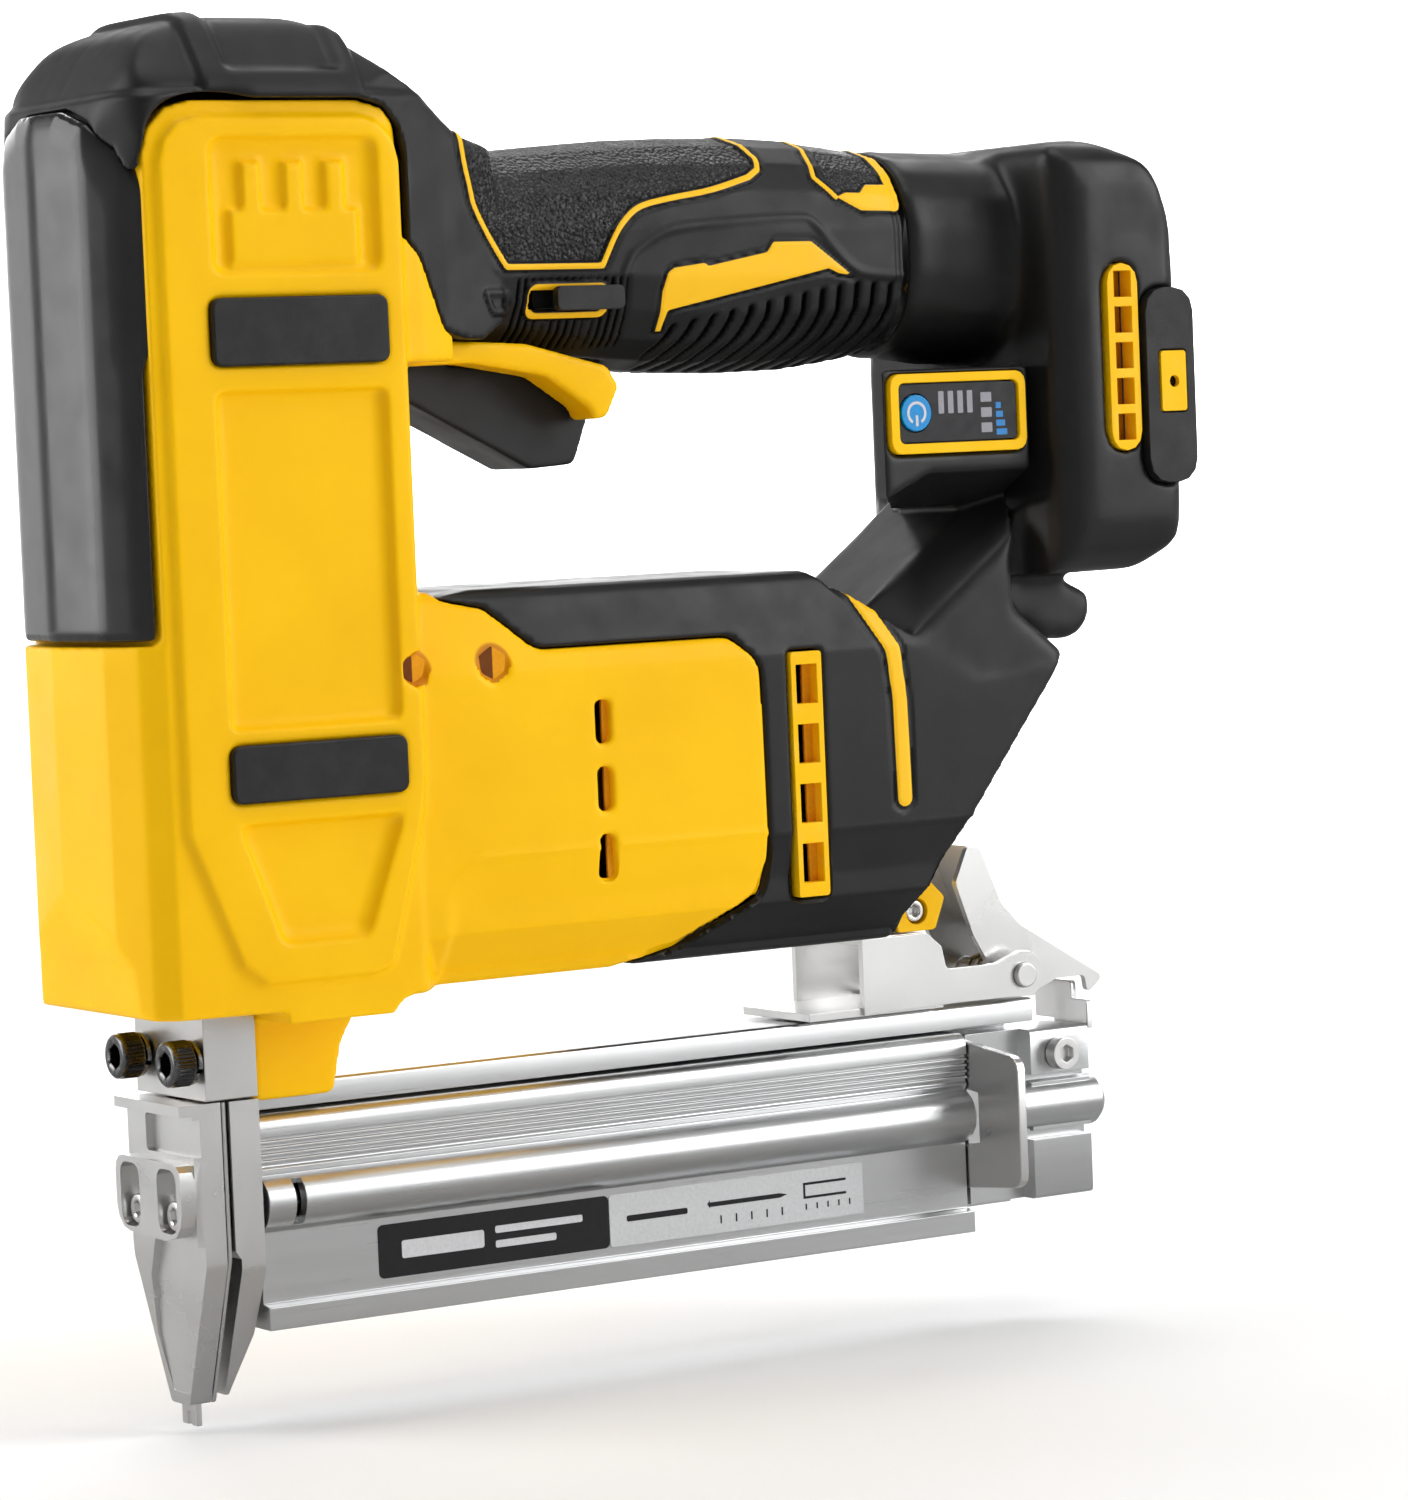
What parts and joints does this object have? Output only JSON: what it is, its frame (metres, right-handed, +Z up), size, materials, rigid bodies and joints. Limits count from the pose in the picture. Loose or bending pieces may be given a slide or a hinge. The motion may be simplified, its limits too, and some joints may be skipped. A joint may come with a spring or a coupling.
{
  "type": "cordless brad nailer",
  "caption": "Handheld cordless brad nailer with a spring drive, side-loading magazine, loop handle and a rear shoe for a slide-on battery.",
  "frame": {"origin": "centre of the contact tip's flat bottom, where nails leave the nose", "axes": "+Z up along the driver, +X from the nose to the battery end, +Y to the tool's right-hand side"},
  "size_m": [0.237, 0.076, 0.2615],
  "materials": {
    "yellow_plastic": "satin moulded, warm yellow",
    "black_plastic": "satin, fine grain",
    "guard_plastic": "smooth, glossy dark grey",
    "black_rubber": "matt soft-touch",
    "label_plastic": "smooth film",
    "blue_button": "smooth",
    "nickel": "nickel plated, satin",
    "aluminium": "extruded, clear anodised",
    "black_steel": "black oxide",
    "spring_steel": "bright drawn wire",
    "motor_steel": "plain"
  },
  "bodies": {
    "housing": {"main_shell_left": "yellow_plastic", "main_shell_right": "yellow_plastic", "upper_shell_left": "black_rubber", "upper_shell_right": "black_rubber", "rear_shell_left": "black_plastic", "rear_shell_right": "black_plastic", "foot_shell_left": "black_plastic", "foot_shell_right": "black_plastic", "front_guard": "guard_plastic", "side_pad_upper_left": "black_rubber", "side_pad_upper_right": "black_rubber", "side_pad_lower_left": "black_rubber", "side_pad_lower_right": "black_rubber", "motor_vent_left": "yellow_plastic", "motor_vent_right": "yellow_plastic", "foot_vent_left": "yellow_plastic", "foot_vent_right": "yellow_plastic", "hook_pad_left": "black_rubber", "hook_pad_right": "black_rubber", "hook_nut_left": "yellow_plastic", "hook_nut_right": "yellow_plastic", "control_bezel": "yellow_plastic", "control_panel": "label_plastic", "battery_shoe": "black_plastic", "control_board": "label_plastic", "trigger_switch": "label_plastic", "motor_stator": "motor_steel", "gearbox": "motor_steel", "mainspring": "spring_steel", "spring_seat": "black_plastic", "bumper": "black_rubber", "nose_block": "nickel", "nose_base": "nickel", "guide_plate": "nickel", "nose_cover": "nickel", "cover_screw_left": "nickel", "cover_screw_right": "nickel", "nose_bolt_left": "black_steel", "nose_bolt_right": "black_steel", "magazine_rail": "aluminium", "latch_bracket": "nickel", "latch_pin": "nickel", "latch_spring": "spring_steel", "rear_boss": "yellow_plastic", "boss_screw": "nickel"},
    "trigger": {"trigger": "black_plastic"},
    "lock_slider": {"lock_slider": "black_plastic"},
    "power_button": {"power_button": "blue_button"},
    "contact": {"contact_tip": "nickel"},
    "rotor": {"motor_rotor": "motor_steel"},
    "lifter": {"lifter_wheel": "black_steel"},
    "driver": {"driver": "black_steel"},
    "magazine_cover": {"magazine_slide": "aluminium", "pull_tab": "nickel", "end_block": "aluminium", "end_screw": "nickel", "catch_plate": "nickel", "pusher_spring": "spring_steel"},
    "pusher": {"nail_pusher": "black_steel"},
    "latch_lever": {"latch_lever": "nickel"}
  },
  "joints": [
    {"name": "trigger_pull", "type": "hinge", "parent": "housing", "child": "trigger", "pos_m": [0.052, 0, 0.1976], "axis": [0, -1, 0], "range_deg": [0, 8], "stiffness_Nm_per_rad": 0.3, "springref_deg": -11.46},
    {"name": "lock_slide", "type": "slide", "parent": "housing", "child": "lock_slider", "axis": [-1, 0, 0], "range_m": [0, 0.0055]},
    {"name": "power_press", "type": "slide", "parent": "housing", "child": "power_button", "axis": [0, 1, 0], "range_m": [0, 0.0006], "stiffness_N_per_m": 100, "springref_m": -0.001},
    {"name": "contact_press", "type": "slide", "parent": "housing", "child": "contact", "axis": [0, 0, 1], "range_m": [0, 0.005], "stiffness_N_per_m": 200, "springref_m": -0.008},
    {"name": "motor_spin", "type": "hinge", "parent": "housing", "child": "rotor", "pos_m": [0.1, 0, 0.115], "axis": [1, 0, 0], "range_deg": [0, 1800]},
    {"name": "lifter_spin", "type": "hinge", "parent": "housing", "child": "lifter", "pos_m": [0.04, 0, 0.115], "axis": [1, 0, 0], "range_deg": [0, 150.5]},
    {"name": "driver_lift", "type": "slide", "parent": "housing", "child": "driver", "axis": [0, 0, 1], "range_m": [0, 0.0301], "deforming": ["mainspring"]},
    {"name": "magazine_open", "type": "slide", "parent": "housing", "child": "magazine_cover", "axis": [1, 0, 0], "range_m": [0, 0.12]},
    {"name": "pusher_travel", "type": "slide", "parent": "magazine_cover", "child": "pusher", "axis": [1, 0, 0], "range_m": [0, 0.13], "stiffness_N_per_m": 20, "springref_m": -0.15, "deforming": ["pusher_spring"]},
    {"name": "latch_release", "type": "hinge", "parent": "housing", "child": "latch_lever", "pos_m": [0.1855, 0, 0.0685], "axis": [0, -1, 0], "range_deg": [0, 14], "stiffness_Nm_per_rad": 0.2, "springref_deg": -17.19, "deforming": ["latch_spring"]}
  ],
  "couplings": [
    {"joint": "lifter_spin", "follows": "motor_spin", "ratio": 0.083333},
    {"joint": "driver_lift", "follows": "motor_spin", "m_per_rad": 0.000955}
  ]
}
